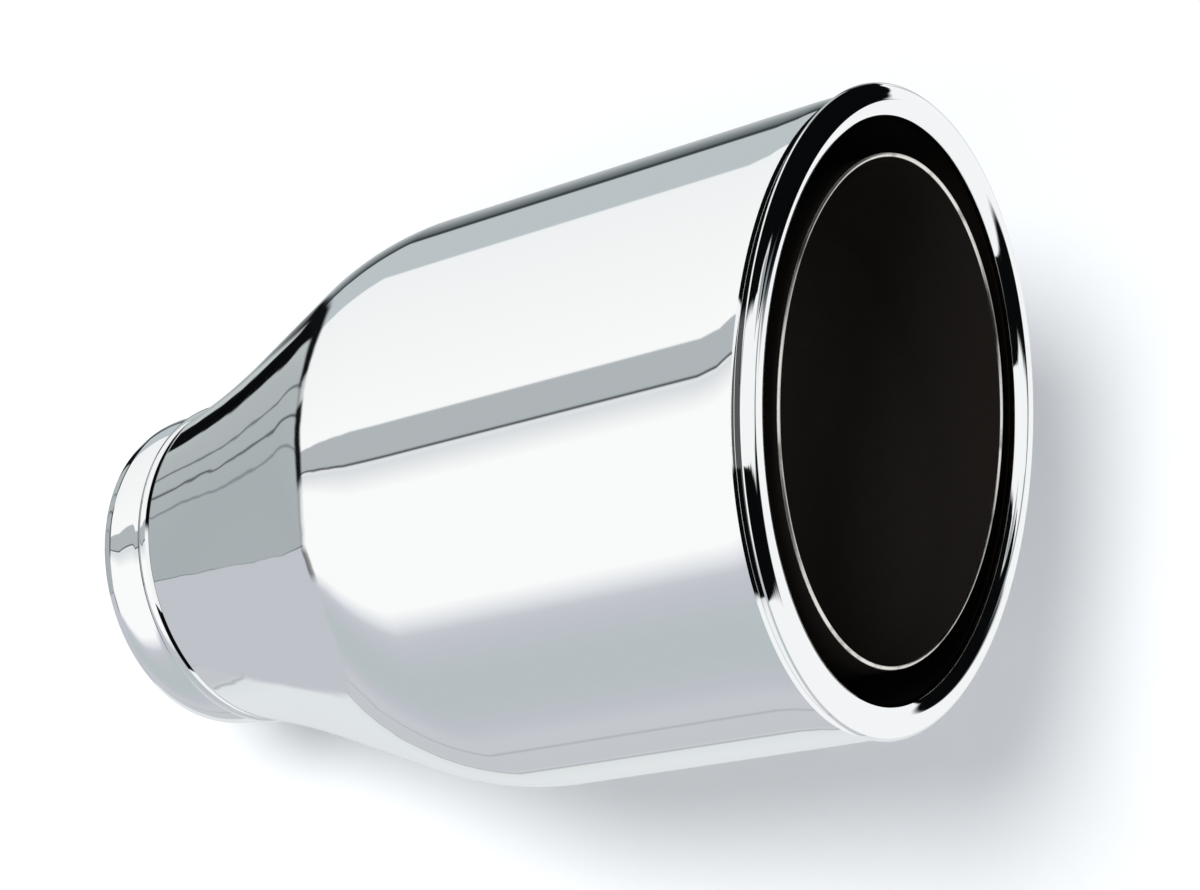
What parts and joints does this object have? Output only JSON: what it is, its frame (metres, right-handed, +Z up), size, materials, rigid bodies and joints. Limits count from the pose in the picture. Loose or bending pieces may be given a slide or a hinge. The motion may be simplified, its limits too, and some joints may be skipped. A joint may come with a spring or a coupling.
{
  "type": "exhaust tip",
  "caption": "Polished double-wall exhaust tip: beaded inlet collar, hollow-sided cone, round barrel and an inward rolled edge on an angle-cut mouth.",
  "frame": {"origin": "centre of the collar bore at the inlet end", "axes": "+X along the axis from the inlet to the mouth, +Z up on the long side of the cut"},
  "size_m": [0.1817, 0.1156, 0.1156],
  "materials": {
    "polished_shell": "mirror polished",
    "liner_tube": "mill finish, darkened inside"
  },
  "bodies": {
    "root": {"outer_shell": "polished_shell", "inner_liner": "liner_tube"}
  },
  "joints": []
}
